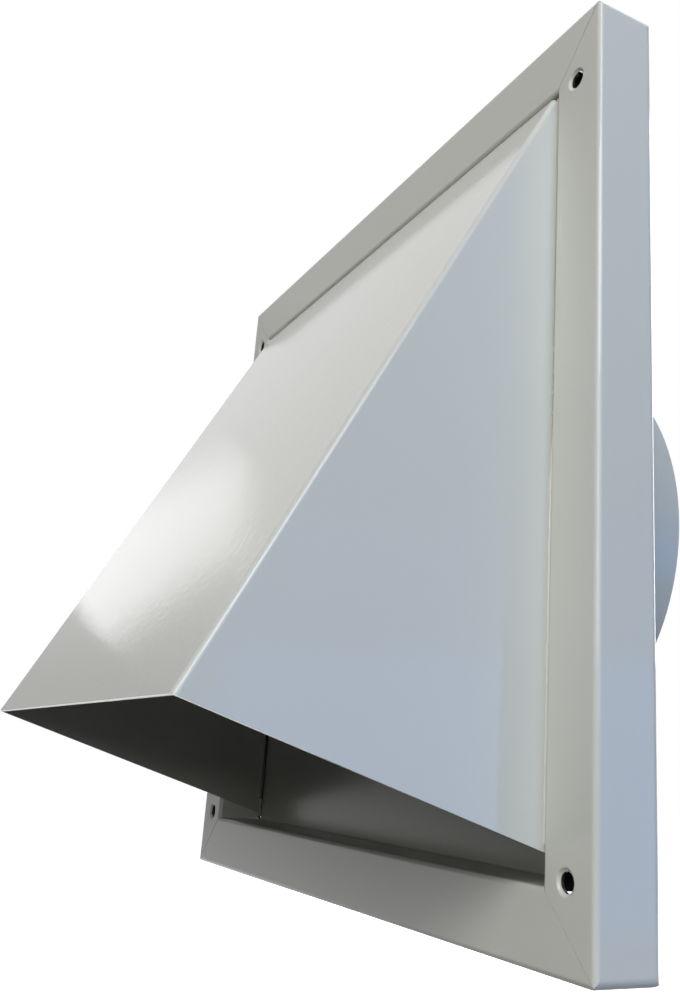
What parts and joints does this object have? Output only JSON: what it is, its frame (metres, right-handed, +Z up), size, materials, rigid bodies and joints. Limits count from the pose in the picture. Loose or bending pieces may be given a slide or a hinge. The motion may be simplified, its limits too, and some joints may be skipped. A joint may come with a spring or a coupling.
{
  "type": "wall vent cowl",
  "caption": "Square wall cowl: a folded tray with a sloping hood open below, a round duct spigot behind it and a swinging back-draught flap inside.",
  "frame": {"origin": "on the spigot's axis, in the wall plane that the tray's back lies on", "axes": "+Y along the spigot into the wall, +Z up, the hood stands out along -Y"},
  "size_m": [0.21, 0.143, 0.21],
  "materials": {
    "coat": "semi-gloss light grey powder coat with fine orange peel",
    "flap_sheet": "mill finish sheet",
    "zinc": "bright zinc plated steel",
    "nylon": "natural moulded nylon",
    "seal": "closed-cell foam rubber"
  },
  "bodies": {
    "cowl": {"tray": "coat", "hood": "coat", "spigot": "coat", "seat_lower": "coat", "seat_upper": "coat", "seal_lower": "seal", "seal_upper": "seal", "bush_left": "nylon", "bush_right": "nylon"},
    "flap": {"flap": "flap_sheet", "flap_axle": "zinc", "clip_left": "flap_sheet", "clip_right": "flap_sheet", "flap_rivets": "zinc"}
  },
  "joints": [
    {"name": "flap_swing", "type": "hinge", "parent": "cowl", "child": "flap", "pos_m": [0, 0.01, 0.016], "axis": [-1, 0, 0], "range_deg": [0, 70]}
  ]
}
